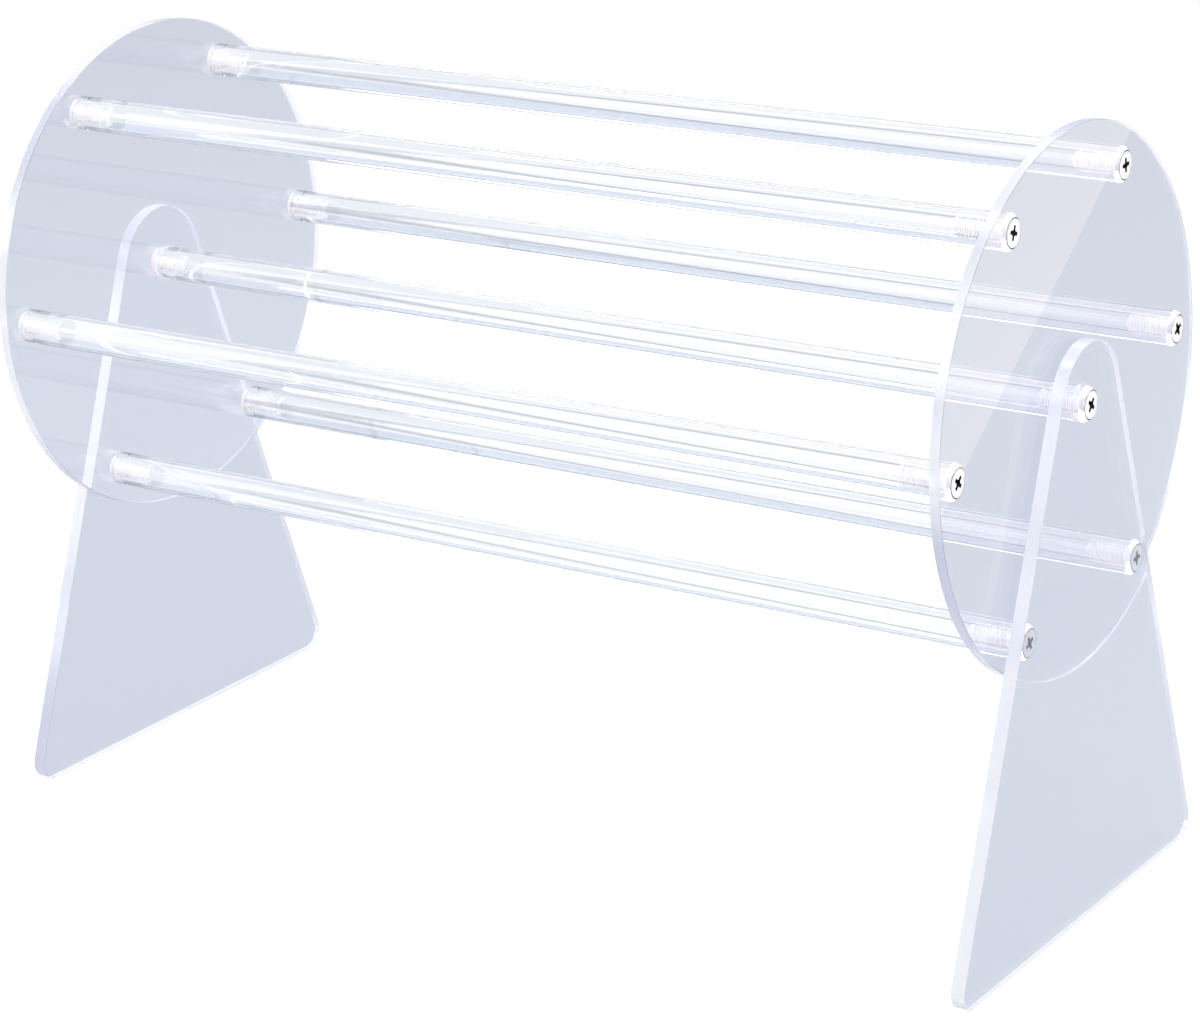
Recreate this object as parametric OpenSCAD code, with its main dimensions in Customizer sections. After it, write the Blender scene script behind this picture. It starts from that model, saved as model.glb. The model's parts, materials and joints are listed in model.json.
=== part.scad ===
// Rotating hair tie holder. A clear drum, made of two end discs and six ring rods,
// turns on an axle rod that is screwed between two tapered stands. X runs along the
// axle, Z is up, and the origin is on the table under the middle of the drum.

/* [Drum] */
// Diameter of each end disc
disc_d = 150; // [110:1:240]
// Thickness of each end disc
disc_t = 3; // [3:0.1:6]
// Small bevel on the edges of a disc's rim
disc_edge = 0.3; // [0.1:0.1:1]
// Width of disc between a ring rod and the rim
rim_margin = 5; // [2:0.5:15]
// Length of the ring rods, which is the space between the discs
ring_rod_len = 305; // [120:1:450]
// Diameter of the ring rods
ring_rod_d = 10; // [8:0.5:16]
// Angle of the first ring rod above the horizontal while the drum is at rest
drum_turn = 3.4; // [0:0.1:60]

/* [Axle] */
// Diameter of the axle rod
axle_d = 10; // [8:0.5:16]
// Gap all round between the axle rod and a disc's bore
axle_play = 0.08; // [0.03:0.01:0.1]
// Gap between a disc and the stand beside it
side_gap = 1.2; // [0.6:0.1:5]
// Bevel round the ends of every rod
rod_edge = 0.4; // [0.1:0.1:1]

/* [Stands] */
// Height of the axle above the table
axle_h = 149; // [130:1:260]
// Width of a stand's foot, measured to its corners before they are rounded
foot_w = 144; // [90:1:260]
// Radius of the two corners of the foot
foot_corner_r = 5.5; // [2:0.5:12]
// Radius of the round top, about the axle
top_r = 17.5; // [10:0.5:30]
// Thickness of a stand
stand_t = 4; // [3:0.1:8]

/* [Screws] */
// Thread diameter
screw_d = 4; // [3:0.1:4.5]
// Length, with the countersunk head
screw_len = 10; // [8.5:0.5:16]
// Diameter of the countersunk head
head_d = 8.2; // [7.5:0.1:8.8]
// Height of the straight rim round the top of the head
head_rim = 0.2; // [0.1:0.05:0.3]
// Bevel on the tip
tip_edge = 0.5; // [0.2:0.1:0.8]
// Span of the cross recess
recess_span = 4.4; // [3:0.1:5]
// Width of each slot of the cross
recess_slot = 1.1; // [0.8:0.1:1.5]
// Depth of the cross recess
recess_depth = 2; // [1.2:0.1:2.6]

/* [Screw holes] */
// Gap between a screw's head and its countersink
head_play = 0.05; // [0.02:0.01:0.15]
// Gap all round between a screw and the plain hole in a disc or stand
shank_play = 0.2; // [0.1:0.05:0.4]
// Gap all round between a screw and the tapped hole in a rod
thread_play = 0.05; // [0.02:0.01:0.1]
// Depth of tapped hole left empty past the tip of the screw
hole_spare = 6; // [1:0.5:12]
// Full angle of the drill point at the bottom of a tapped hole
drill_point = 118; // [90:1:150]

/* [Hidden] */
$fn = 96;
RODS = 6;
LEFT = -1;
RIGHT = 1;
rod_numbers = [1 : RODS];
overcut = 1;
ring_r = disc_d / 2 - rim_margin - ring_rod_d / 2;
disc_in_x = ring_rod_len / 2;
disc_out_x = disc_in_x + disc_t;
stand_in_x = disc_out_x + side_gap;
stand_out_x = stand_in_x + stand_t;
head_h = head_rim + (head_d - screw_d) / 2;
clear_acrylic = [0.80, 0.83, 0.92, 0.45];
clear_rod = [0.88, 0.90, 0.96, 0.6];
steel = [0.78, 0.78, 0.80];
SIDES = [["left", LEFT], ["right", RIGHT]];

function rod_angle(n) = drum_turn + (n - 1) * 360 / RODS;

// Mirrors what is drawn for the right end when it belongs to the left end
module at_end(side) {
    if (side == LEFT) mirror([1, 0, 0]) children();
    else children();
}

// Puts what is drawn along Z on the axle line, pointing along X from station x
module on_axle(x) {
    translate([x, 0, axle_h]) rotate([0, 90, 0]) children();
}

// The same, on the line of ring rod n
module on_ring(x, n) {
    translate([x, 0, axle_h]) rotate([rod_angle(n), 0, 0]) translate([0, ring_r, 0])
        rotate([0, 90, 0]) children();
}

// Tapped blind hole down from z = 0, with its drill point
module tapped_hole(depth) {
    r = screw_d / 2 + thread_play;
    point_h = r / tan(drill_point / 2);
    rotate_extrude() polygon([
        [0, overcut], [r, overcut], [r, -depth], [0, -depth - point_h]
    ]);
}

// Countersunk hole down from z = 0 through a plate
module countersunk_hole(plate_t) {
    mouth_r = head_d / 2 + head_play;
    hole_r = screw_d / 2 + shank_play;
    cone_h = mouth_r - hole_r;
    rotate_extrude() polygon([
        [0, overcut], [mouth_r, overcut], [mouth_r, -head_rim],
        [hole_r, -head_rim - cone_h], [hole_r, -plate_t - overcut], [0, -plate_t - overcut]
    ]);
}

// Rod along Z, centred, with a tapped hole in each end for a screw through a plate
module drilled_rod(length, d, plate_t) {
    hole_depth = screw_len - plate_t + hole_spare;
    difference() {
        rotate_extrude() polygon([
            [0, -length / 2], [d / 2 - rod_edge, -length / 2], [d / 2, -length / 2 + rod_edge],
            [d / 2, length / 2 - rod_edge], [d / 2 - rod_edge, length / 2], [0, length / 2]
        ]);
        for (flip = [0, 180])
            rotate([flip, 0, 0]) translate([0, 0, length / 2]) tapped_hole(hole_depth);
    }
}

// Cross recess down from z = 0, narrowing with depth
module cross_recess() {
    intersection() {
        translate([0, 0, -recess_depth])
            cylinder(h = recess_depth + overcut, d1 = recess_slot,
                d2 = recess_slot + (recess_span - recess_slot) * (1 + overcut / recess_depth));
        union() {
            for (turn = [0, 90]) rotate([0, 0, turn])
                translate([-recess_span / 2, -recess_slot / 2, -recess_depth])
                    cube([recess_span, recess_slot, recess_depth + overcut]);
        }
    }
}

// Countersunk screw, its head's face at z = 0 and its shank pointing down
module screw() {
    color(steel) difference() {
        rotate_extrude() polygon([
            [0, 0], [head_d / 2, 0], [head_d / 2, -head_rim], [screw_d / 2, -head_h],
            [screw_d / 2, -screw_len + tip_edge], [screw_d / 2 - tip_edge, -screw_len],
            [0, -screw_len]
        ]);
        cross_recess();
    }
}

module disc(side) {
    color(clear_acrylic) at_end(side) difference() {
        on_axle(disc_in_x) rotate_extrude() polygon([
            [0, 0], [disc_d / 2 - disc_edge, 0], [disc_d / 2, disc_edge],
            [disc_d / 2, disc_t - disc_edge], [disc_d / 2 - disc_edge, disc_t], [0, disc_t]
        ]);
        on_axle(disc_in_x - overcut)
            cylinder(h = disc_t + 2 * overcut, r = axle_d / 2 + axle_play);
        for (n = rod_numbers) on_ring(disc_out_x, n) countersunk_hole(disc_t);
    }
}

module ring_rod(n) {
    color(clear_rod) on_ring(0, n) drilled_rod(ring_rod_len, ring_rod_d, disc_t);
}

module ring_screw(side, n) {
    at_end(side) on_ring(disc_out_x, n) screw();
}

module axle_rod() {
    color(clear_rod) on_axle(0) drilled_rod(2 * stand_in_x, axle_d, stand_t);
}

// A stand's plate, drawn flat: a round top about the axle, straight sides that leave
// it as tangents, and a flat foot with rounded corners
module stand_plate() {
    half_foot = foot_w / 2;
    to_axle = norm([half_foot, axle_h]);
    side_angle = atan2(axle_h, -half_foot) - asin(top_r / to_axle);
    outward = [sin(side_angle), -cos(side_angle)];
    corner = [half_foot - foot_corner_r / tan((180 - side_angle) / 2), foot_corner_r];
    side_top = [0, axle_h] + top_r * outward;
    side_foot = corner + foot_corner_r * outward;
    linear_extrude(height = stand_t) polygon([
        side_top, side_foot, [corner[0], 0], [-corner[0], 0],
        [-side_foot[0], side_foot[1]], [-side_top[0], side_top[1]]
    ]);
    translate([0, axle_h, 0]) cylinder(h = stand_t, r = top_r);
    for (y = [-corner[0], corner[0]]) translate([y, corner[1], 0])
        cylinder(h = stand_t, r = foot_corner_r);
}

module stand(side) {
    color(clear_acrylic) at_end(side) difference() {
        translate([stand_in_x, 0, 0]) rotate([90, 0, 90]) stand_plate();
        on_axle(stand_out_x) countersunk_hole(stand_t);
    }
}

module axle_screw(side) {
    at_end(side) on_axle(stand_out_x) screw();
}

disc(LEFT);  // left_disc
disc(RIGHT);  // right_disc
for (n = rod_numbers)
    ring_rod(n);
for (s = SIDES, n = rod_numbers)
    ring_screw(s[1], n);
axle_rod();
stand(LEFT);  // left_stand
stand(RIGHT);  // right_stand
axle_screw(LEFT);  // left_axle_screw
axle_screw(RIGHT);  // right_axle_screw
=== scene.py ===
"""Looks of a rotating hair tie holder: clear sheet and rods, bright screws and a plain studio."""

import json
import math

import bmesh
import bpy
from bpy.props import FloatProperty, FloatVectorProperty, IntProperty, PointerProperty
from mathutils import Matrix, Quaternion, Vector

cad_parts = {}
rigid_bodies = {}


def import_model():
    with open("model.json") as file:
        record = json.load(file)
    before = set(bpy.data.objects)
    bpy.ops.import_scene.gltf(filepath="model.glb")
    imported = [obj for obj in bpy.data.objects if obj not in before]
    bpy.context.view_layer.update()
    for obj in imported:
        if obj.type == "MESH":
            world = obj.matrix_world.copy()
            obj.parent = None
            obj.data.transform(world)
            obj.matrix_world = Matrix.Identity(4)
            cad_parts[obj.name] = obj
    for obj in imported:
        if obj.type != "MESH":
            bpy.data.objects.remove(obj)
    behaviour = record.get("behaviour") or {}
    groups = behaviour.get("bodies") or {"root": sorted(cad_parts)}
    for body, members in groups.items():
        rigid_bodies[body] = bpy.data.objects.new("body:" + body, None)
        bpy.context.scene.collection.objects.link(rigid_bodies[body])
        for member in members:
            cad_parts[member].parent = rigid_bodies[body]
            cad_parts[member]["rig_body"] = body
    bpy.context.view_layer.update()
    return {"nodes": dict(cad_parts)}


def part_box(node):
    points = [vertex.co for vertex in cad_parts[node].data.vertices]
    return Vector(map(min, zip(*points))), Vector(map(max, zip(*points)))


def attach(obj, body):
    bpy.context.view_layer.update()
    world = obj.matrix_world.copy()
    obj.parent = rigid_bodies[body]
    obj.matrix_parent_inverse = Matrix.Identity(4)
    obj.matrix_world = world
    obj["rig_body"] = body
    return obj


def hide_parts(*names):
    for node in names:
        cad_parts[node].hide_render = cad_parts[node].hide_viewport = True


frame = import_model()

bl_info = {
    "name": "Rotating hair tie holder",
    "version": (1, 0, 0),
    "blender": (4, 5, 0),
    "location": "View3D > Sidebar > Hair Tie Holder",
    "description": "Finishes the clear sheets, rods and screws of a rotating hair tie holder",
    "category": "Object",
}

NODES = frame["nodes"]
RING_RODS = sorted(name for name in NODES if name.startswith("ring_rod_"))
SCREWS = sorted(name for name in NODES if name.endswith("_screw") or "_screw_" in name)
AXLE_CENTRE = sum(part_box("axle_rod"), Vector()) / 2
MM = 0.001


def body_of(node):
    return NODES[node]["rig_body"]


# Properties


class HolderFinish(bpy.types.PropertyGroup):
    # Painted shade: the sheet tints below stand mostly for the lavender-grey studio seen through
    # the clear acrylic, and only a little for the acrylic's own tint
    sheet_tint_and_shade: FloatVectorProperty(
        name="Sheet tint",
        description="Tint of clear sheet at the face that the eye meets",
        subtype="COLOR",
        size=3,
        min=0,
        max=1,
        default=(0.79, 0.82, 0.885),
    )
    sheet_back_tint_and_shade: FloatVectorProperty(
        name="Sheet back tint",
        description="Tint of clear sheet at its far face",
        subtype="COLOR",
        size=3,
        min=0,
        max=1,
        default=(0.405, 0.443, 0.56),
    )
    # Painted light: the left disc's back tint is a lighter copy of the other sheets' one, so that
    # the left disc reads lighter than the right
    left_disc_back_tint_painted_lighter: FloatVectorProperty(
        name="Left disc back tint",
        description="Tint of the left disc at its far face, a little lighter than the others",
        subtype="COLOR",
        size=3,
        min=0,
        max=1,
        default=(0.46, 0.495, 0.615),
    )
    # Painted light and painted shade: the edges' white places and the lavender-blue between them
    edge_painted_light: FloatVectorProperty(
        name="Edge colour",
        description="Colour of the cut edges of a sheet where they catch the light",
        subtype="COLOR",
        size=3,
        min=0,
        max=1,
        default=(0.73, 0.75, 0.81),
    )
    edge_shade: FloatVectorProperty(
        name="Edge shade",
        description="Colour of the cut edges of a sheet between the bright places",
        subtype="COLOR",
        size=3,
        min=0,
        max=1,
        default=(0.46, 0.475, 0.60),
    )
    cut_colour: FloatVectorProperty(
        name="Drilled colour",
        description="Colour of the matt walls of drilled and tapped holes",
        subtype="COLOR",
        size=3,
        min=0,
        max=1,
        default=(0.97, 0.975, 0.99),
    )
    rod_tint: FloatVectorProperty(
        name="Rod tint",
        description="Tint of clear rod where the eye meets it squarely",
        subtype="COLOR",
        size=3,
        min=0,
        max=1,
        default=(0.86, 0.88, 0.92),
    )
    # Painted shade: the rod's slant tint and outline below stand in for the dark surroundings
    # that a clear rod refracts
    rod_painted_band: FloatVectorProperty(
        name="Rod side tint",
        description="Tint of clear rod where the eye meets it at a slant",
        subtype="COLOR",
        size=3,
        min=0,
        max=1,
        default=(0.75, 0.775, 0.83),
    )
    rod_painted_line: FloatVectorProperty(
        name="Rod outline",
        description="Tint of clear rod along its outline and in the thin lines inside it",
        subtype="COLOR",
        size=3,
        min=0,
        max=1,
        default=(0.34, 0.36, 0.40),
    )
    # Painted glow: emission, from no lamp, in rods, edges, drilled walls and screws where they
    # are seen through a sheet
    glow_colour: FloatVectorProperty(
        name="Glow colour",
        description="Colour of the light led along a rod or sheet, before a sheet tints it",
        subtype="COLOR",
        size=3,
        min=0,
        max=1,
        default=(1.0, 0.80, 0.66),
    )
    edge_glow_colour: FloatVectorProperty(
        name="Edge glow colour",
        description="Colour of the light led to a sheet's edges, before a sheet tints it",
        subtype="COLOR",
        size=3,
        min=0,
        max=1,
        default=(1.0, 0.95, 0.80),
    )
    glow: FloatProperty(
        name="Glow",
        description="Light that shows in rods and edges when they are seen through a sheet",
        min=0,
        max=1,
        default=0.22,
    )
    acrylic_ior: FloatProperty(
        name="Acrylic IOR",
        description="How strongly acrylic bends light",
        min=1.3,
        max=1.7,
        default=1.49,
    )
    screw_colour: FloatVectorProperty(
        name="Screw colour",
        description="Colour of the nickel plating on the screws",
        subtype="COLOR",
        size=3,
        min=0,
        max=1,
        default=(0.90, 0.90, 0.92),
    )
    # Painted shade: near black in the screws' recesses and as a dark outline round their heads,
    # where the countersink leaves a shadow gap
    recess_painted_shade: FloatVectorProperty(
        name="Recess colour",
        description="Colour of the screws' recesses and rims, where the plating is dull",
        subtype="COLOR",
        size=3,
        min=0,
        max=1,
        default=(0.03, 0.03, 0.035),
    )


class HolderSheets(bpy.types.PropertyGroup):
    rim_sides: IntProperty(
        name="Rim sides",
        description="Faces round the rim of a disc",
        min=48,
        max=512,
        default=240,
    )
    edge_bevel: FloatProperty(
        name="Edge bevel",
        description="Bevel on the edges of the discs and stands",
        unit="LENGTH",
        min=0.0,
        max=0.001,
        default=0.2 * MM,
    )
    bore_radius: FloatProperty(
        name="Bore radius",
        description="Radius of the bore in which the axle rod runs",
        unit="LENGTH",
        min=0.003,
        max=0.01,
        default=5.08 * MM,
    )
    foot_corner_radius: FloatProperty(
        name="Foot corner radius",
        description="Radius of the corners of a stand's foot",
        unit="LENGTH",
        min=0.001,
        max=0.02,
        default=5.5 * MM,
    )


class HolderRods(bpy.types.PropertyGroup):
    sides: IntProperty(
        name="Sides",
        description="Faces round a rod",
        min=24,
        max=256,
        default=128,
    )
    radius: FloatProperty(
        name="Radius",
        description="Radius of the ring rods and the axle rod",
        unit="LENGTH",
        min=0.002,
        max=0.01,
        default=5 * MM,
    )
    end_bevel: FloatProperty(
        name="End bevel",
        description="Bevel round the ends of a rod",
        unit="LENGTH",
        min=0.0,
        max=0.002,
        default=0.4 * MM,
    )
    seat_gap: FloatProperty(
        name="Seat gap",
        description="Film of air between the end of a rod and the sheet that it butts against",
        unit="LENGTH",
        min=0.0,
        max=0.001,
        default=0.02 * MM,
    )
    spare_depth: FloatProperty(
        name="Spare depth",
        description="Depth of the tapped hole past the tip of its screw",
        unit="LENGTH",
        min=0.0,
        max=0.02,
        default=6 * MM,
    )


class HolderScrews(bpy.types.PropertyGroup):
    pitch: FloatProperty(
        name="Thread pitch",
        description="Distance from one turn of the thread to the next",
        unit="LENGTH",
        min=0.0003,
        max=0.002,
        default=0.7 * MM,
    )
    crest_radius: FloatProperty(
        name="Crest radius",
        description="Radius of the thread at its crest",
        unit="LENGTH",
        min=0.001,
        max=0.004,
        default=1.95 * MM,
    )
    root_radius: FloatProperty(
        name="Root radius",
        description="Radius of the thread at its root",
        unit="LENGTH",
        min=0.001,
        max=0.004,
        default=1.56 * MM,
    )


class HolderStage(bpy.types.PropertyGroup):
    floor_colour: FloatVectorProperty(
        name="Floor colour",
        description="Colour of the table and backdrop",
        subtype="COLOR",
        size=3,
        min=0,
        max=1,
        default=(0.92, 0.92, 0.92),
    )
    wall_colour: FloatVectorProperty(
        name="Wall colour",
        description="Colour of the studio wall above the table",
        subtype="COLOR",
        size=3,
        min=0,
        max=1,
        default=(0.73, 0.775, 0.86),
    )
    shadow_share: FloatProperty(
        name="Shadow share",
        description="How much of a shadow the white table shows",
        min=0,
        max=1,
        default=0.3,
    )
    world_light: FloatProperty(
        name="World light",
        description="Strength of the even light from all round",
        min=0,
        max=5,
        default=0.75,
    )


def settings(name):
    return getattr(bpy.context.scene, name)


# Materials

# A ray that has passed more faces than this is inside the first sheet, behind that
# sheet, or inside a piece behind it
IN_SHEET = 0.5
BEHIND_SHEET = 1.5
IN_PIECE_BEHIND = 2.5

# What sheet, rod and a sheet behind another let through, as colours
SHEET_SHADOW = (0.93, 0.94, 0.97)
ROD_SHADOW = (0.95, 0.955, 0.975)
PLAIN_TINT = (0.98, 0.98, 0.99)


def new_material(name):
    material = bpy.data.materials.new(name)
    material.use_nodes = True
    material.node_tree.nodes.clear()
    return material, material.node_tree.nodes, material.node_tree.links


def lets_lamps_through(nodes, links, surface, colour):
    """Lamps and diffuse light pass straight through clear acrylic, so its shadow is light."""
    out = nodes.new("ShaderNodeOutputMaterial")
    path = nodes.new("ShaderNodeLightPath").outputs
    clear = nodes.new("ShaderNodeBsdfTransparent")
    clear.inputs["Color"].default_value = (*colour, 1)
    passing = calculate(nodes, links, "MAXIMUM", path["Is Shadow Ray"], path["Is Diffuse Ray"])
    shader = mixed(nodes, links, passing, surface, clear)
    links.new(shader.outputs["Shader"], out.inputs["Surface"])


def calculate(nodes, links, operation, *values):
    """A Math node on values, each of them a number or the output of another node."""
    node = nodes.new("ShaderNodeMath")
    node.operation = operation
    for socket, value in zip(node.inputs, values):
        if isinstance(value, bpy.types.NodeSocket):
            links.new(value, socket)
        else:
            socket.default_value = value
    return node.outputs["Value"]


def mixed(nodes, links, share, first, second):
    """The first shader where share is 0, and the second where it is 1."""
    mix = nodes.new("ShaderNodeMixShader")
    links.new(share, mix.inputs["Fac"])
    links.new(first.outputs[0], mix.inputs[1])
    links.new(second.outputs[0], mix.inputs[2])
    return mix


def acrylic(nodes, tint, roughness=0.0, transmission=1.0):
    shader = nodes.new("ShaderNodeBsdfPrincipled")
    shader.inputs["Base Color"].default_value = (*tint, 1)
    shader.inputs["Transmission Weight"].default_value = transmission
    shader.inputs["Roughness"].default_value = roughness
    shader.inputs["IOR"].default_value = settings("holder_finish").acrylic_ior
    return shader


def clear_sheet(name, far_tint_and_shade):
    """Tinted sheet, whose tint is mostly painted shade that stands in for the lavender-grey
    studio seen through the clear acrylic. Only the first sheet that the eye looks through
    tints, as two overlapping sheets look no darker than one, and most of it where light
    enters by the back face, so that the polished rim shows bright through the front one."""
    material, nodes, links = new_material(name)
    front = acrylic(nodes, settings("holder_finish").sheet_tint_and_shade)
    back = acrylic(nodes, far_tint_and_shade)
    plain = acrylic(nodes, PLAIN_TINT)
    depth = nodes.new("ShaderNodeLightPath").outputs["Transmission Depth"]
    entered = calculate(nodes, links, "GREATER_THAN", depth, IN_SHEET)
    passed = calculate(nodes, links, "GREATER_THAN", depth, BEHIND_SHEET)
    first_sheet = mixed(nodes, links, entered, front, back)
    sheet = mixed(nodes, links, passed, first_sheet, plain)
    lets_lamps_through(nodes, links, sheet, SHEET_SHADOW)
    return material


def ramp(nodes, links, value, stops):
    """Colours from a value between 0 and 1, by stops of (position, colour)."""
    colours = nodes.new("ShaderNodeValToRGB")
    row = colours.color_ramp.elements
    while len(row) < len(stops):
        row.new(1)
    for stop, (position, colour) in zip(row, stops):
        stop.position = position
        stop.color = (*colour, 1)
    links.new(value, colours.inputs["Fac"])
    return colours.outputs["Color"]


def glows_behind(nodes, links, shader, colour, *steps):
    """Painted glow: emission that stands in for the light acrylic leads along its length. It
    shows in rods, edges, drilled walls and screws where they are seen through a sheet. Each
    step is the number of faces past which it shows, and its share of the glow."""
    depth = nodes.new("ShaderNodeLightPath").outputs["Transmission Depth"]
    glow = 0.0
    for faces, share in steps:
        behind = calculate(nodes, links, "GREATER_THAN", depth, faces)
        strength = settings("holder_finish").glow * share
        glow = calculate(nodes, links, "MULTIPLY_ADD", behind, strength, glow)
    shader.inputs["Emission Color"].default_value = (*colour, 1)
    links.new(glow, shader.inputs["Emission Strength"])


def clear_rod(name):
    """Clear rod, in painted bands of deeper colour that bend with it, and painted grey along its
    outline and in thin lines inside it, which stand in for the surroundings that it
    refracts; and a painted glow where it is seen through a sheet.
    """
    material, nodes, links = new_material(name)
    colours = settings("holder_finish")
    rod = acrylic(nodes, colours.rod_tint)
    # Painted shade: bands and grey lines by how slanted the face is to the eye, for the
    # surroundings the rod refracts
    slant = nodes.new("ShaderNodeLayerWeight")
    slant.inputs["Blend"].default_value = 0.5
    tint = ramp(
        nodes,
        links,
        slant.outputs["Facing"],
        [
            (0.02, colours.rod_tint),
            (0.09, colours.rod_painted_band),
            (0.178, colours.rod_tint),
            (0.19, colours.rod_painted_line),
            (0.205, colours.rod_painted_line),
            (0.22, colours.rod_tint),
            (0.4, colours.rod_painted_band),
            (0.56, colours.rod_tint),
            (0.62, colours.rod_painted_line),
        ],
    )
    links.new(tint, rod.inputs["Base Color"])
    glows_behind(nodes, links, rod, colours.glow_colour, (BEHIND_SHEET, 1))
    lets_lamps_through(nodes, links, rod, ROD_SHADOW)
    return material


def polished_edge(name, stretch, lit_above=0.0):
    """Cut edge of a sheet, with painted light for the light it gathers from all over the sheet:
    painted white in places, and painted lavender-blue shade between them. The more
    lit_above is, the whiter the painted light makes it on top."""
    material, nodes, links = new_material(name)
    colours = settings("holder_finish")
    edge = acrylic(nodes, colours.edge_painted_light, 0.2, 0.35)
    where = nodes.new("ShaderNodeTexCoord")
    along = nodes.new("ShaderNodeMapping")
    along.inputs["Scale"].default_value = stretch
    patches = nodes.new("ShaderNodeTexNoise")
    patches.inputs["Scale"].default_value = 1.0
    patches.inputs["Detail"].default_value = 1.5
    links.new(where.outputs["Object"], along.inputs["Vector"])
    links.new(along.outputs["Vector"], patches.inputs["Vector"])
    facing = nodes.new("ShaderNodeSeparateXYZ")
    links.new(where.outputs["Normal"], facing.inputs["Vector"])
    upward = facing.outputs["Z"]
    # Painted light and shade: noise patches and how much the face looks upward choose between
    # white and lavender-blue
    colour = ramp(
        nodes,
        links,
        calculate(nodes, links, "MULTIPLY_ADD", upward, lit_above, patches.outputs["Fac"]),
        [(0.42, colours.edge_shade), (0.56, colours.edge_painted_light)],
    )
    links.new(colour, edge.inputs["Base Color"])
    steps = (IN_SHEET, 0.9), (BEHIND_SHEET, 1.3)
    glows_behind(nodes, links, edge, colours.edge_glow_colour, *steps)
    lets_lamps_through(nodes, links, edge, SHEET_SHADOW)
    return material


def frosted_cut(name, transmission=0.6):
    """Drilled and tapped acrylic, left matt by the tool, with fine scratches in it, and a
    painted glow where it is seen through a sheet.
    """
    material, nodes, links = new_material(name)
    colours = settings("holder_finish")
    cut = acrylic(nodes, colours.cut_colour, 0.35, transmission)
    where = nodes.new("ShaderNodeTexCoord")
    scratches = nodes.new("ShaderNodeTexNoise")
    scratches.inputs["Scale"].default_value = 2600
    scratches.inputs["Detail"].default_value = 3
    bump = nodes.new("ShaderNodeBump")
    bump.inputs["Strength"].default_value = 0.35
    bump.inputs["Distance"].default_value = 0.05 * MM
    links.new(where.outputs["Object"], scratches.inputs["Vector"])
    links.new(scratches.outputs["Fac"], bump.inputs["Height"])
    links.new(bump.outputs["Normal"], cut.inputs["Normal"])
    glows_behind(nodes, links, cut, colours.glow_colour, (IN_PIECE_BEHIND, 1.3))
    lets_lamps_through(nodes, links, cut, SHEET_SHADOW)
    return material


def nickel(name, colour, roughness, glow):
    """Nickel plating, which takes a share of the painted glow where it is seen through a sheet.
    """
    material, nodes, links = new_material(name)
    out = nodes.new("ShaderNodeOutputMaterial")
    metal = nodes.new("ShaderNodeBsdfPrincipled")
    metal.inputs["Base Color"].default_value = (*colour, 1)
    metal.inputs["Metallic"].default_value = 1
    metal.inputs["Roughness"].default_value = roughness
    glow_colour = settings("holder_finish").glow_colour
    glows_behind(nodes, links, metal, glow_colour, (IN_SHEET, glow))
    links.new(metal.outputs["BSDF"], out.inputs["Surface"])
    return material


def put_material(piece, *materials):
    piece.data.materials.clear()
    for material in materials:
        piece.data.materials.append(material)


# Modelling. Turned pieces are drawn about the Z axis, in millimetres, and are then laid
# along the axle or a ring rod. A screw or cutter has its outer end at z = 0.

# Edges that bend by fewer degrees than this are shaded smooth
SMOOTH_BELOW = 12
SMOOTH_BELOW_ON_SCREW = 40

# Where the slope of a rounded edge changes, as a share of its width
ROUNDING = 0.3

# Points nearer than this are one point, in metres
MERGE = 0.002 * MM


def nothing_selected():
    bpy.ops.object.select_all(action="DESELECT")


def pick(piece):
    nothing_selected()
    piece.select_set(True)
    bpy.context.view_layer.objects.active = piece


def added(name):
    """Names the object that an operator has just added."""
    piece = bpy.context.object
    piece.name = name
    piece.data.name = name
    pick(piece)
    return piece


def outline(name, points, closed=False):
    """Draws a line through points (radius, height) in the XZ plane."""
    nothing_selected()
    bpy.ops.mesh.primitive_plane_add(size=MM)
    piece = added(name)
    bpy.ops.object.mode_set(mode="EDIT")
    bpy.ops.mesh.select_mode(type="VERT")
    bpy.ops.mesh.merge(type="CENTER")
    here = Vector()
    for number, (radius, height) in enumerate(points):
        to = Vector((radius, 0, height)) * MM
        if number:
            bpy.ops.mesh.extrude_region_move(TRANSFORM_OT_translate={"value": to - here})
        else:
            bpy.ops.transform.translate(value=to)
        here = to
    bpy.ops.mesh.select_all(action="SELECT")
    if closed:
        bpy.ops.mesh.edge_face_add()
        bpy.ops.mesh.delete(type="ONLY_FACE")
    bpy.ops.object.mode_set(mode="OBJECT")
    return piece


def clean_up():
    """Merges doubles and turns every face outwards, in edit mode."""
    bpy.ops.mesh.select_all(action="SELECT")
    bpy.ops.mesh.remove_doubles(threshold=MERGE)
    bpy.ops.mesh.dissolve_degenerate(threshold=MERGE / 2)
    bpy.ops.mesh.select_all(action="SELECT")
    bpy.ops.mesh.normals_make_consistent(inside=False)


def turned(name, points, steps, closed=False):
    """Turns a profile of (radius, height) about the Z axis, as on a lathe."""
    piece = outline(name, points, closed)
    bpy.ops.object.mode_set(mode="EDIT")
    bpy.ops.mesh.select_all(action="SELECT")
    bpy.ops.mesh.spin(
        steps=steps, angle=2 * math.pi, center=(0, 0, 0), axis=(0, 0, 1), use_auto_merge=True
    )
    clean_up()
    bpy.ops.object.mode_set(mode="OBJECT")
    return piece


def apply(piece, kind, **values):
    """Adds a modifier with these values and applies it."""
    pick(piece)
    modifier = piece.modifiers.new(kind.lower(), kind)
    for key, value in values.items():
        setattr(modifier, key, value)
    bpy.ops.object.modifier_apply(modifier=modifier.name)


def combine(piece, other, how):
    """Joins, or cuts away, another piece, which is used up."""
    apply(piece, "BOOLEAN", operation=how, object=other, solver="EXACT")
    drop(other)


def drop(piece):
    pick(piece)
    bpy.ops.object.delete()


def copy_of(piece, name):
    pick(piece)
    bpy.ops.object.duplicate()
    return added(name)


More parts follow.
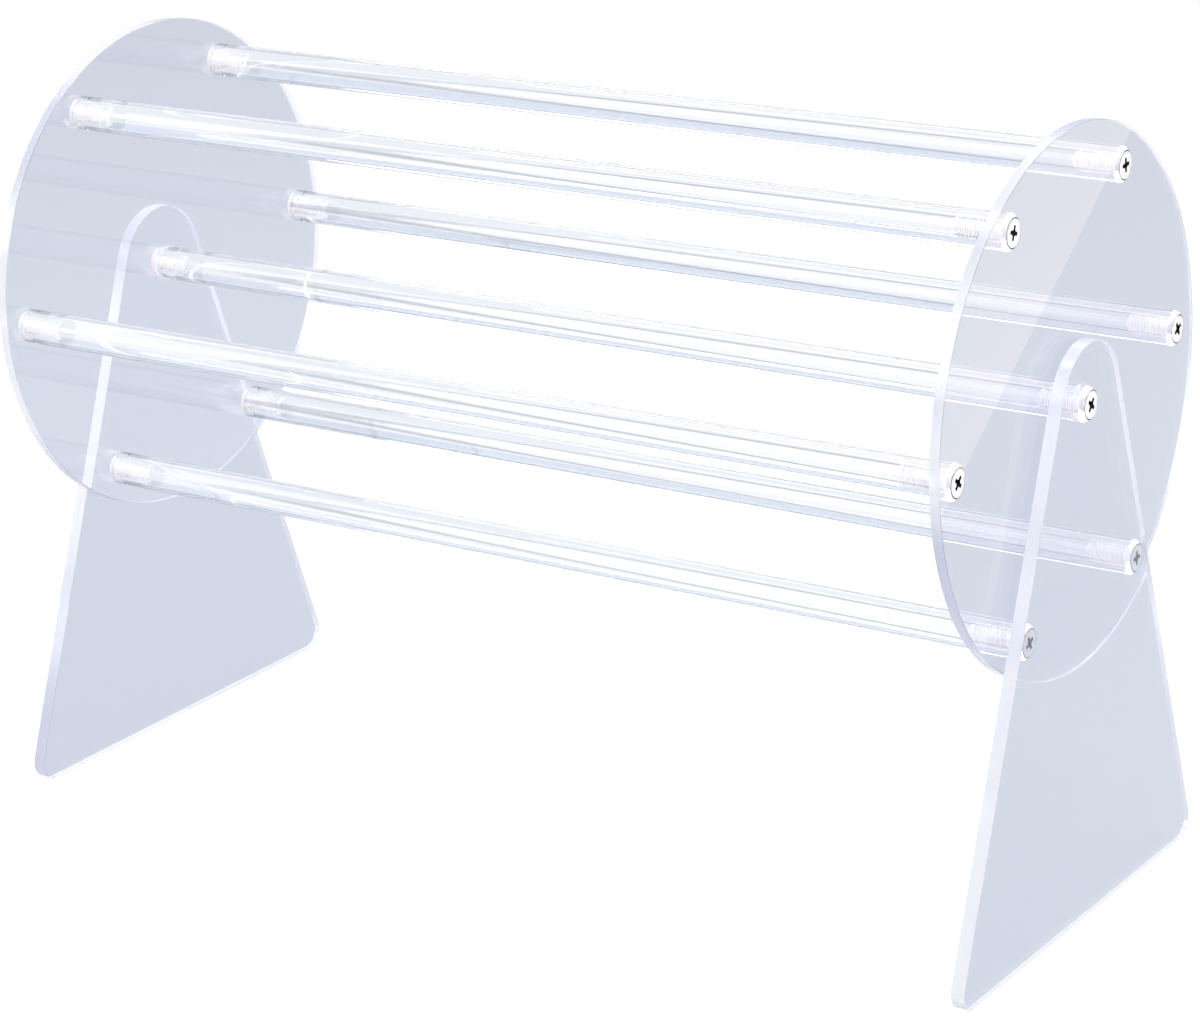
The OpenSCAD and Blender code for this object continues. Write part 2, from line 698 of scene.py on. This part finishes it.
def lay(piece, turn, place=(0, 0, 0)):
    """Turns a piece about the origin, moves it, and puts its place into its mesh."""
    pick(piece)
    piece.matrix_world = Matrix.Translation(place) @ turn.to_4x4()
    bpy.ops.object.transform_apply(location=True, rotation=True, scale=True)


def smooth(piece, angle):
    pick(piece)
    bpy.ops.object.shade_smooth_by_angle(angle=math.radians(angle))


def paint(piece, materials, choose):
    """Gives each face the material whose number choose returns for its middle and normal."""
    put_material(piece, *materials)
    pick(piece)
    bpy.ops.object.mode_set(mode="EDIT")
    bpy.ops.mesh.select_mode(type="FACE")
    for number in range(1, len(materials)):
        mesh = bmesh.from_edit_mesh(piece.data)
        for face in mesh.faces:
            face.select_set(choose(face.calc_center_median(), face.normal) == number)
        bmesh.update_edit_mesh(piece.data)
        piece.active_material_index = number
        bpy.ops.object.material_slot_assign()
    bpy.ops.object.mode_set(mode="OBJECT")


# Along X, outer end to the right or to the left; both are turns, so a right-hand
# thread stays one
TO_RIGHT = Matrix.Rotation(math.radians(90), 3, "Y")
TO_LEFT = Matrix.Rotation(math.radians(180), 3, "Z") @ TO_RIGHT
SIDES = {"left": (-1, TO_LEFT), "right": (1, TO_RIGHT)}


def measured(node, axis):
    """Size of a CAD node along an axis, in millimetres."""
    low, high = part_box(node)
    return (high[axis] - low[axis]) / MM


SCREW_LENGTH = measured("right_axle_screw", 0)
HEAD_D = measured("right_axle_screw", 1)
DISC_T = measured("right_disc", 0)
STAND_T = measured("right_stand", 0)

# The rest of the screws and their holes, in millimetres. Each play is all round, and
# UNTAPPED is what the thread leaves plain at the bottom of a hole
SHANK_R = 2.0
HEAD_RIM = 0.2
HEAD_H = HEAD_RIM + HEAD_D / 2 - SHANK_R
HEAD_PLAY = 0.05
SHANK_PLAY = 0.2
TAP_PLAY = 0.06
DRILL_PLAY = 0.03
MOUTH_EDGE = 0.3
UNTAPPED = 1
HALF_DRILL_POINT = math.radians(59)
HALF_THREAD_ANGLE = math.radians(30)

# Faces round what is turned, and steps in one turn of a thread
SCREW_SIDES = 64
DRILL_SIDES = 48
CONE_SIDES = 24
THREAD_STEPS = 40

# How far a cutter stands out of what it cuts, in millimetres
OVERCUT = 1


def thread(name, profile, bottom, top):
    """Right-hand thread about Z between two heights, from one pitch of its profile."""
    pitch = profile[-1][1]
    first = math.floor(bottom / pitch) - 1
    turns = math.ceil(top / pitch) + 1 - first
    piece = outline(name, [(radius, height + first * pitch) for radius, height in profile])
    apply(
        piece,
        "SCREW",
        axis="Z",
        angle=2 * math.pi,
        screw_offset=pitch * MM,
        iterations=turns,
        steps=THREAD_STEPS,
        render_steps=THREAD_STEPS,
        use_merge_vertices=True,
        merge_threshold=MERGE,
    )
    pick(piece)
    bpy.ops.object.mode_set(mode="EDIT")
    for height, up in ((top, 1), (bottom, -1)):
        bpy.ops.mesh.select_all(action="SELECT")
        bpy.ops.mesh.bisect(
            plane_co=(0, 0, height * MM),
            plane_no=(0, 0, up),
            use_fill=True,
            clear_outer=True,
            threshold=MERGE / 20,
        )
    clean_up()
    bpy.ops.object.mode_set(mode="OBJECT")
    return piece


def screw_profile():
    """One pitch of the screw's thread, 60 degrees between its flanks."""
    sizes = settings("holder_screws")
    pitch, crest, root = (v / MM for v in (sizes.pitch, sizes.crest_radius, sizes.root_radius))
    flank = (crest - root) * math.tan(HALF_THREAD_ANGLE)
    land = pitch / 8
    first = (pitch - land) / 2 - flank
    return [
        (root, 0),
        (root, first),
        (crest, first + flank),
        (crest, first + flank + land),
        (root, pitch - first),
        (root, pitch),
    ]


def tap_profile():
    """The same thread with running room all round, as the tap cuts it."""
    rise = TAP_PLAY / math.cos(HALF_THREAD_ANGLE) - TAP_PLAY * math.tan(HALF_THREAD_ANGLE)
    shape = screw_profile()
    shift = [0, -rise, -rise, rise, rise, 0]
    return [(radius + TAP_PLAY, height + move) for (radius, height), move in zip(shape, shift)]


def hole_depth(plate):
    """Depth of the tapped hole in a rod for a screw through a plate."""
    return SCREW_LENGTH - plate + settings("holder_rods").spare_depth / MM


def tap_hole(rod, depth, plate, turn, place):
    """Drills and taps a blind hole in the end of a rod. z = 0 is the plate's outer face."""
    drill_r = settings("holder_screws").root_radius / MM + DRILL_PLAY
    mouth = SHANK_R + MOUTH_EDGE
    drill = turned(
        "drill",
        [
            (0, -plate + OVERCUT),
            (mouth, -plate + OVERCUT),
            (mouth, -plate),
            (drill_r, -plate - (mouth - drill_r)),
            (drill_r, -plate - depth),
            (0, -plate - depth - drill_r / math.tan(HALF_DRILL_POINT)),
        ],
        DRILL_SIDES,
    )
    tap = thread("tap", tap_profile(), -plate - depth + UNTAPPED, -plate + OVERCUT)
    for cutter in (drill, tap):
        lay(cutter, turn, place)
        combine(rod, cutter, "DIFFERENCE")


def make_rod(node, plate, name):
    """A rod with a bevel round both ends and a drilled and tapped hole in each."""
    sizes = settings("holder_rods")
    low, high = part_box(node)
    half = ((high.x - low.x) / 2 - sizes.seat_gap) / MM
    radius = sizes.radius / MM
    edge = sizes.end_bevel / MM
    turn = edge * ROUNDING
    rod = turned(
        name,
        [
            (0, -half),
            (radius - edge, -half),
            (radius - turn, -half + turn),
            (radius, -half + edge),
            (radius, half - edge),
            (radius - turn, half - turn),
            (radius - edge, half),
            (0, half),
        ],
        sizes.sides,
    )
    lay(rod, TO_RIGHT)
    depth = hole_depth(plate)
    outer = (high.x - low.x) / 2 + plate * MM
    for sign, outwards in SIDES.values():
        tap_hole(rod, depth, plate, outwards, (sign * outer, 0, 0))
    smooth(rod, SMOOTH_BELOW)
    return rod


def put_on(piece, nodes):
    """Hands a finished piece over in place of CAD nodes of one body."""
    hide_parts(*nodes)
    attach(piece, body_of(nodes[0]))


def ring_place(number):
    """Where a ring rod's line crosses the plane x = 0."""
    middle = sum(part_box(f"ring_rod_{number}"), Vector()) / 2
    return Vector((0, middle.y, middle.z))


def mirrored(piece):
    """Turns a piece of the right side into its mirror image, with its faces outwards."""
    pick(piece)
    piece.matrix_world = Matrix.Scale(-1, 4, (1, 0, 0))
    bpy.ops.object.transform_apply()
    bpy.ops.object.mode_set(mode="EDIT")
    clean_up()
    bpy.ops.object.mode_set(mode="OBJECT")


def put_on_both_sides(blank, kind, sheets, other_materials, part):
    """Finishes a sheet modelled for the right side, and its mirror image for the left."""
    for side, (sign, _) in SIDES.items():
        piece = copy_of(blank, f"{side}_{kind}_made")
        if sign < 0:
            mirrored(piece)
        smooth(piece, SMOOTH_BELOW)
        paint(piece, [sheets[side], *other_materials], part)
        put_on(piece, [f"{side}_{kind}"])
    drop(blank)


# Operators

# Faces of a rod, in millimetres: nearer to its line than HOLE_REACH they are walls of its
# hole, within END_REACH of its end they are that end, and within FLOOR_REACH of the
# hole's depth they are its bottom
HOLE_REACH = 2.35
END_REACH = 0.05
FLOOR_REACH = 0.5

# Faces of a sheet: flat where more than FLAT of their normal is along X, on a disc's rim
# past RIM_FROM of its radius, and in a stand's hole within HOLE_WITHIN of its top's radius
FLAT = 0.99
RIM_FROM = 0.98
HOLE_WITHIN = 0.6


class HOLDER_OT_rods(bpy.types.Operator):
    """Make the ring rods and the axle rod"""

    bl_idname = "holder.rods"
    bl_label = "Rods"

    def execute(self, context):
        clear = clear_rod("polished_rod")
        cut = frosted_cut("tapped_rod")
        bottom = frosted_cut("hole_bottom", 0.1)

        def finish(rod, place, nodes, plate):
            lay(rod, Matrix.Identity(3), place)
            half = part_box(nodes[0])[1].x
            floor = half - hole_depth(plate) * MM

            def part(middle, _normal):
                out, along = (middle - place).yz.length, abs(middle.x)
                if out > HOLE_REACH * MM and along < half - END_REACH * MM:
                    return 0
                return 2 if abs(along - floor) < FLOOR_REACH * MM else 1

            paint(rod, [clear, cut, bottom], part)
            put_on(rod, nodes)

        first = make_rod("ring_rod_1", DISC_T, "ring_rod")
        for number in range(1, len(RING_RODS) + 1):
            rod = copy_of(first, f"rod_{number}")
            finish(rod, ring_place(number), [f"ring_rod_{number}"], DISC_T)
        drop(first)
        axle = make_rod("axle_rod", STAND_T, "axle")
        finish(axle, Vector((0, AXLE_CENTRE.y, AXLE_CENTRE.z)), ["axle_rod"], STAND_T)
        return {"FINISHED"}


def make_screw():
    """A countersunk screw without its recess, its face at z = 0. Its core is a little
    thinner than the thread's root, so that the two overlap."""
    root = settings("holder_screws").root_radius / MM
    core, neck, tip = root - 0.04, SHANK_R - 0.05, root - 0.45
    r = HEAD_D / 2
    body = turned(
        "screw",
        [
            (0, 0),
            (r - 0.3, 0),
            (r, -0.15),
            (r, -HEAD_RIM),
            (neck, -HEAD_H),
            (neck, -HEAD_H - 0.25),
            (core, -HEAD_H - 0.6),
            (core, -SCREW_LENGTH + 0.45),
            (tip, -SCREW_LENGTH),
            (0, -SCREW_LENGTH),
        ],
        SCREW_SIDES,
    )
    turns = thread("turns", screw_profile(), -SCREW_LENGTH + 0.35, -HEAD_H - 0.2)
    combine(body, turns, "UNION")
    return body


# The wings that cut a screw's recess, in millimetres: their size, how far down they are
# moved, the share of it that is left at their bottom, and the bevel on their edges
WING_SIZE = (4.9, 1.2, 2.6)
WING_DROP = 0.7
WING_TAPER = (0.3, 0.72, 1)
WING_BEVEL = 0.16


def recess_cutter():
    """A cross of four tapered wings on a small cone, for the recess of a screw."""
    wings = []
    for quarter in range(2):
        bpy.ops.mesh.primitive_cube_add(size=MM)
        wing = added("wing")
        bpy.ops.object.mode_set(mode="EDIT")
        bpy.ops.transform.resize(value=WING_SIZE, center_override=(0, 0, 0))
        bpy.ops.transform.translate(value=(0, 0, -WING_DROP * MM))
        mesh = bmesh.from_edit_mesh(wing.data)
        for face in mesh.faces:
            face.select_set(face.normal.z < -0.5)
        bmesh.update_edit_mesh(wing.data)
        bpy.ops.transform.resize(value=WING_TAPER, center_override=(0, 0, -2 * MM))
        bpy.ops.object.mode_set(mode="OBJECT")
        apply(wing, "BEVEL", width=WING_BEVEL * MM, segments=2, limit_method="ANGLE")
        lay(wing, Matrix.Rotation(math.radians(90 * quarter), 3, "Z"))
        wings.append(wing)
    combine(wings[0], wings[1], "UNION")
    profile = [(0, 0.4), (1.15, 0.4), (1.0, -0.4), (0.35, -2.1), (0, -2.2)]
    cone = turned("cone", profile, CONE_SIDES)
    combine(wings[0], cone, "UNION")
    return wings[0]


def recess_angle(number, sign):
    """Where the cross of a screw stopped on tightening, in degrees."""
    return 20 + 67 * number + 31 * sign


def painted_shade_part(middle, _normal):
    """Number of the material of a screw's face: 1, painted shade, in its recess, which is less
    than 2.3 mm deep, and as a painted dark outline on the bevel and the straight rim of its head."""
    depth, out = -middle.z / MM, middle.xy.length / MM
    in_recess = 0.01 < depth < 2.3 and out < min(2.6, HEAD_D / 2 - depth) - 0.05
    return int(in_recess or (depth < HEAD_RIM and out > HEAD_D / 2 - 0.31))


class HOLDER_OT_screws(bpy.types.Operator):
    """Make the screws, each with its recess turned as it was left on tightening"""

    bl_idname = "holder.screws"
    bl_label = "Screws"

    def execute(self, context):
        colours = settings("holder_finish")
        steel = nickel("nickel", colours.screw_colour, roughness=0.2, glow=0.7)
        # Painted shade in the recesses and round the rims of the heads
        shaded = nickel("painted_shade_nickel", colours.recess_painted_shade, roughness=0.45, glow=0.3)
        blank = make_screw()
        cutter = recess_cutter()
        for node in SCREWS:
            side, *_, last = node.split("_")
            sign, outwards = SIDES[side]
            number = int(last) if last.isdigit() else 0
            screw = copy_of(blank, node + "_made")
            recess = copy_of(cutter, "recess")
            lay(recess, Matrix.Rotation(math.radians(recess_angle(number, sign)), 3, "Z"))
            combine(screw, recess, "DIFFERENCE")
            face = max(abs(corner.x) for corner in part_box(node)) * sign
            middle = sum(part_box(node), Vector()) / 2
            smooth(screw, SMOOTH_BELOW_ON_SCREW)
            paint(screw, [steel, shaded], painted_shade_part)
            lay(screw, outwards, (face, middle.y, middle.z))
            put_on(screw, [node])
        drop(blank)
        drop(cutter)
        return {"FINISHED"}


def countersink(plate):
    """Cutter for a countersunk hole through a plate whose outer face is at z = 0."""
    mouth, hole = HEAD_D / 2 + HEAD_PLAY, SHANK_R + SHANK_PLAY
    return turned(
        "countersink",
        [
            (0, OVERCUT),
            (mouth, OVERCUT),
            (mouth, -HEAD_RIM),
            (hole, -HEAD_RIM - (mouth - hole)),
            (hole, -plate - OVERCUT),
            (0, -plate - OVERCUT),
        ],
        SCREW_SIDES,
    )


class HOLDER_OT_discs(bpy.types.Operator):
    """Make the two end discs"""

    bl_idname = "holder.discs"
    bl_label = "Discs"

    def execute(self, context):
        sizes = settings("holder_sheets")
        low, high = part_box("right_disc")
        radius = (high.y - low.y) / 2 / MM
        bore = sizes.bore_radius / MM
        edge = sizes.edge_bevel / MM
        turn = edge * ROUNDING
        disc = turned(
            "disc",
            [
                (bore, -edge / 2),
                (bore + edge / 2, 0),
                (radius - edge, 0),
                (radius - turn, -turn),
                (radius, -edge),
                (radius, -DISC_T + edge),
                (radius - turn, -DISC_T + turn),
                (radius - edge, -DISC_T),
                (bore + edge / 2, -DISC_T),
                (bore, -DISC_T + edge / 2),
            ],
            sizes.rim_sides,
            closed=True,
        )
        lay(disc, TO_RIGHT, (high.x, AXLE_CENTRE.y, AXLE_CENTRE.z))
        for number in range(1, len(RING_RODS) + 1):
            cutter = countersink(DISC_T)
            lay(cutter, TO_RIGHT, ring_place(number) + Vector((high.x, 0, 0)))
            combine(disc, cutter, "DIFFERENCE")
        colours = settings("holder_finish")
        sheets = {
            "left": clear_sheet("left_disc_sheet", colours.left_disc_back_tint_painted_lighter),
            "right": clear_sheet("right_disc_sheet", colours.sheet_back_tint_and_shade),
        }
        rim = polished_edge("disc_rim", (4, 14, 14))
        cut = frosted_cut("disc_hole")

        def part(middle, normal):
            if abs(normal.x) > FLAT:
                return 0
            return 1 if (middle - AXLE_CENTRE).yz.length > radius * MM * RIM_FROM else 2

        put_on_both_sides(disc, "disc", sheets, [rim, cut], part)
        return {"FINISHED"}


class HOLDER_OT_stands(bpy.types.Operator):
    """Make the two stands"""

    bl_idname = "holder.stands"
    bl_label = "Stands"

    def execute(self, context):
        sizes = settings("holder_sheets")
        low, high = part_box("right_stand")
        top_r = high.z - AXLE_CENTRE.z
        corner_r = sizes.foot_corner_radius
        foot_y = (high.y - low.y) / 2 - corner_r
        nothing_selected()
        rounds = []
        for radius, sides, y, z in (
            (top_r, 192, 0, AXLE_CENTRE.z),
            (corner_r, 96, foot_y, corner_r),
            (corner_r, 96, -foot_y, corner_r),
        ):
            bpy.ops.mesh.primitive_cylinder_add(
                vertices=sides,
                radius=radius,
                depth=STAND_T * MM,
                location=((low.x + high.x) / 2, y, z),
                rotation=(0, math.radians(90), 0),
            )
            rounds.append(added("round"))
        for piece in rounds:
            piece.select_set(True)
        bpy.context.view_layer.objects.active = rounds[0]
        bpy.ops.object.join()
        bpy.ops.object.transform_apply(location=True, rotation=True, scale=True)
        stand = added("stand")
        bpy.ops.object.mode_set(mode="EDIT")
        bpy.ops.mesh.select_all(action="SELECT")
        bpy.ops.mesh.convex_hull(join_triangles=True)
        bpy.ops.mesh.select_all(action="SELECT")
        bpy.ops.mesh.dissolve_limited(angle_limit=math.radians(0.5))
        clean_up()
        bpy.ops.object.mode_set(mode="OBJECT")
        apply(
            stand,
            "BEVEL",
            width=sizes.edge_bevel,
            segments=3,
            limit_method="ANGLE",
            angle_limit=math.radians(60),
        )
        cutter = countersink(STAND_T)
        lay(cutter, TO_RIGHT, (high.x, AXLE_CENTRE.y, AXLE_CENTRE.z))
        combine(stand, cutter, "DIFFERENCE")
        sheet = clear_sheet("stand_sheet", settings("holder_finish").sheet_back_tint_and_shade)
        edge = polished_edge("stand_edge", (4, 3, 17), lit_above=0.16)
        cut = frosted_cut("stand_hole")

        def part(middle, normal):
            if abs(normal.x) > FLAT:
                return 0
            return 2 if (middle - AXLE_CENTRE).yz.length < top_r * HOLE_WITHIN else 1

        put_on_both_sides(stand, "stand", dict.fromkeys(SIDES, sheet), [edge, cut], part)
        return {"FINISHED"}


# Camera, from the photograph's perspective: its place from the middle of the axle, in
# metres, how it is turned, in degrees, and its lens, in millimetres
CAMERA_PLACE = Vector((0.57084, -0.85223, 0.28999))
CAMERA_YAW = -33.63
CAMERA_PITCH = -18.66
CAMERA_ROLL = -1.51
CAMERA_LENS = 111.36

# Size of the floor, and the distances from the middle between which the shadow fades
FLOOR_RADIUS = 6
SHADOW_FADES = (0.4, 1.6)

# Lamps: place and size (width, height) in metres, and power in watts
LAMPS = {
    "strip_behind": ((-0.2, 1.1, 1.2), (1.8, 0.22), 9),
    "strip_above": ((0.0, -0.1, 1.5), (1.8, 0.25), 9),
    "front_lamp": ((-0.9, -1.3, 0.9), (0.8, 1.0), 9),
}

# A small lamp beside the right end, seen only as the slanting reflection in its disc
CARD_PLACE = AXLE_CENTRE + Vector((0.2931, 0.1822, -0.0259))
CARD_TARGET = AXLE_CENTRE + Vector((0.1614, -0.0745, 0.0564))
CARD_SIZE = (0.07, 0.15)
CARD_POWER = 0.025
CARD_LEAN = -25.5
CARD_COLOUR = (1.0, 0.84, 0.6)


def add_camera():
    yaw, pitch, roll = (math.radians(a) for a in (CAMERA_YAW, CAMERA_PITCH, CAMERA_ROLL))
    look = Vector(
        (math.sin(yaw) * math.cos(pitch), math.cos(yaw) * math.cos(pitch), math.sin(pitch))
    )
    level_right = Vector((math.cos(yaw), -math.sin(yaw), 0))
    level_up = level_right.cross(look)
    right = math.cos(roll) * level_right + math.sin(roll) * level_up
    up = -math.sin(roll) * level_right + math.cos(roll) * level_up
    turn = Matrix((right, up, -look)).transposed()
    bpy.ops.object.camera_add(location=CAMERA_PLACE + Vector((0, 0, AXLE_CENTRE.z)))
    camera = bpy.context.object
    camera.name = "camera"
    camera.rotation_mode = "QUATERNION"
    camera.rotation_quaternion = turn.to_quaternion()
    camera.data.lens = CAMERA_LENS
    camera.data.sensor_width = 36
    camera.data.clip_start = 0.05
    camera.data.clip_end = 50
    bpy.context.scene.camera = camera


def seen(nodes, links):
    """1 for rays by which the eye sees the backdrop, also in metal and through acrylic."""
    path = nodes.new("ShaderNodeLightPath").outputs
    direct = calculate(nodes, links, "MAXIMUM", path["Is Camera Ray"], path["Is Glossy Ray"])
    return calculate(nodes, links, "MAXIMUM", direct, path["Is Transmission Ray"])


def add_floor():
    """A white table that shows a light shadow under and round the object."""
    sizes = settings("holder_stage")
    bpy.ops.mesh.primitive_circle_add(
        vertices=96, radius=FLOOR_RADIUS, fill_type="NGON", location=(0, 0, 0)
    )
    floor = added("floor")
    material, nodes, links = new_material("floor")
    out = nodes.new("ShaderNodeOutputMaterial")
    paper = nodes.new("ShaderNodeBsdfDiffuse")
    paper.inputs["Color"].default_value = (*sizes.floor_colour, 1)
    white = nodes.new("ShaderNodeEmission")
    white.inputs["Color"].default_value = (1, 1, 1, 1)
    where = nodes.new("ShaderNodeTexCoord")
    away = nodes.new("ShaderNodeVectorMath")
    away.operation = "LENGTH"
    links.new(where.outputs["Object"], away.inputs[0])
    shadow = nodes.new("ShaderNodeMapRange")
    shadow.interpolation_type = "SMOOTHSTEP"
    fade_from, fade_to = SHADOW_FADES
    shadow.inputs["From Min"].default_value = fade_from
    shadow.inputs["From Max"].default_value = fade_to
    shadow.inputs["To Min"].default_value = 1 - sizes.shadow_share
    shadow.inputs["To Max"].default_value = 1
    links.new(away.outputs["Value"], shadow.inputs["Value"])
    share = calculate(nodes, links, "MULTIPLY", seen(nodes, links), shadow.outputs["Result"])
    links.new(mixed(nodes, links, share, paper, white).outputs["Shader"], out.inputs["Surface"])
    put_material(floor, material)


def add_world():
    """A pale studio: white below the horizon, a lavender-grey wall and a white ceiling."""
    sizes = settings("holder_stage")
    world = bpy.data.worlds.new("studio")
    bpy.context.scene.world = world
    world.use_nodes = True
    nodes, links = world.node_tree.nodes, world.node_tree.links
    nodes.clear()
    out = nodes.new("ShaderNodeOutputWorld")
    where = nodes.new("ShaderNodeTexCoord")
    height = nodes.new("ShaderNodeSeparateXYZ")
    studio = nodes.new("ShaderNodeBackground")
    light = nodes.new("ShaderNodeBackground")
    light.inputs["Color"].default_value = (1, 1, 1, 1)
    light.inputs["Strength"].default_value = sizes.world_light
    links.new(where.outputs["Generated"], height.inputs["Vector"])
    half = calculate(nodes, links, "MULTIPLY_ADD", height.outputs["Z"], 0.5, 0.5)
    white, wall = (1, 1, 1), sizes.wall_colour
    # From 0, straight down, to 1, straight up
    colour = ramp(nodes, links, half, [(0.48, white), (0.51, wall), (0.82, wall), (0.94, white)])
    links.new(colour, studio.inputs["Color"])
    mix = mixed(nodes, links, seen(nodes, links), light, studio)
    links.new(mix.outputs["Shader"], out.inputs["Surface"])


def add_lamp(name, place, target, size, power, lean=0):
    """A soft lamp that points at a target and leans about that line, in degrees."""
    bpy.ops.object.light_add(type="AREA", location=place)
    lamp = bpy.context.object
    lamp.name = name
    lamp.data.shape = "RECTANGLE"
    lamp.data.size, lamp.data.size_y = size
    lamp.data.energy = power
    lamp.rotation_mode = "QUATERNION"
    aim = (Vector(target) - Vector(place)).to_track_quat("-Z", "Y")
    lamp.rotation_quaternion = aim @ Quaternion((0, 0, 1), math.radians(lean))
    return lamp


class HOLDER_OT_stage(bpy.types.Operator):
    """Set up the camera, floor, world and lamps"""

    bl_idname = "holder.stage"
    bl_label = "Stage"

    def execute(self, context):
        scene = context.scene
        scene.view_settings.view_transform = "Standard"
        # Light goes to and fro many times inside a clear sheet before it leaves by an edge
        scene.cycles.max_bounces = 40
        scene.cycles.glossy_bounces = 32
        scene.cycles.transmission_bounces = 32
        scene.cycles.transparent_max_bounces = 32
        add_camera()
        add_floor()
        add_world()
        for name, (place, size, power) in LAMPS.items():
            add_lamp(name, place, AXLE_CENTRE, size, power)
        card = add_lamp("card", CARD_PLACE, CARD_TARGET, CARD_SIZE, CARD_POWER, CARD_LEAN)
        card.data.color = CARD_COLOUR
        card.visible_camera = False
        card.visible_transmission = False
        return {"FINISHED"}


class HOLDER_PT_panel(bpy.types.Panel):
    """Lists the pieces of the holder and their sizes and colours"""

    bl_label = "Hair Tie Holder"
    bl_idname = "HOLDER_PT_panel"
    bl_space_type = "VIEW_3D"
    bl_region_type = "UI"
    bl_category = "Hair Tie Holder"

    def draw(self, context):
        for step in STEPS:
            self.layout.operator(step.bl_idname)
        for name, group in GROUPS.items():
            box = self.layout.box()
            for prop in group.__annotations__:
                box.prop(getattr(context.scene, name), prop)


STEPS = [
    HOLDER_OT_discs,
    HOLDER_OT_stands,
    HOLDER_OT_rods,
    HOLDER_OT_screws,
    HOLDER_OT_stage,
]
GROUPS = {
    "holder_finish": HolderFinish,
    "holder_sheets": HolderSheets,
    "holder_rods": HolderRods,
    "holder_screws": HolderScrews,
    "holder_stage": HolderStage,
}


def register():
    for cls in [*GROUPS.values(), *STEPS, HOLDER_PT_panel]:
        bpy.utils.register_class(cls)
    for name, group in GROUPS.items():
        setattr(bpy.types.Scene, name, PointerProperty(type=group))


def unregister():
    for name in GROUPS:
        delattr(bpy.types.Scene, name)
    for cls in reversed([*GROUPS.values(), *STEPS, HOLDER_PT_panel]):
        bpy.utils.unregister_class(cls)


def main():
    register()
    for step in STEPS:
        group, name = step.bl_idname.split(".")
        getattr(getattr(bpy.ops, group), name)()


if __name__ == "__main__":
    main()
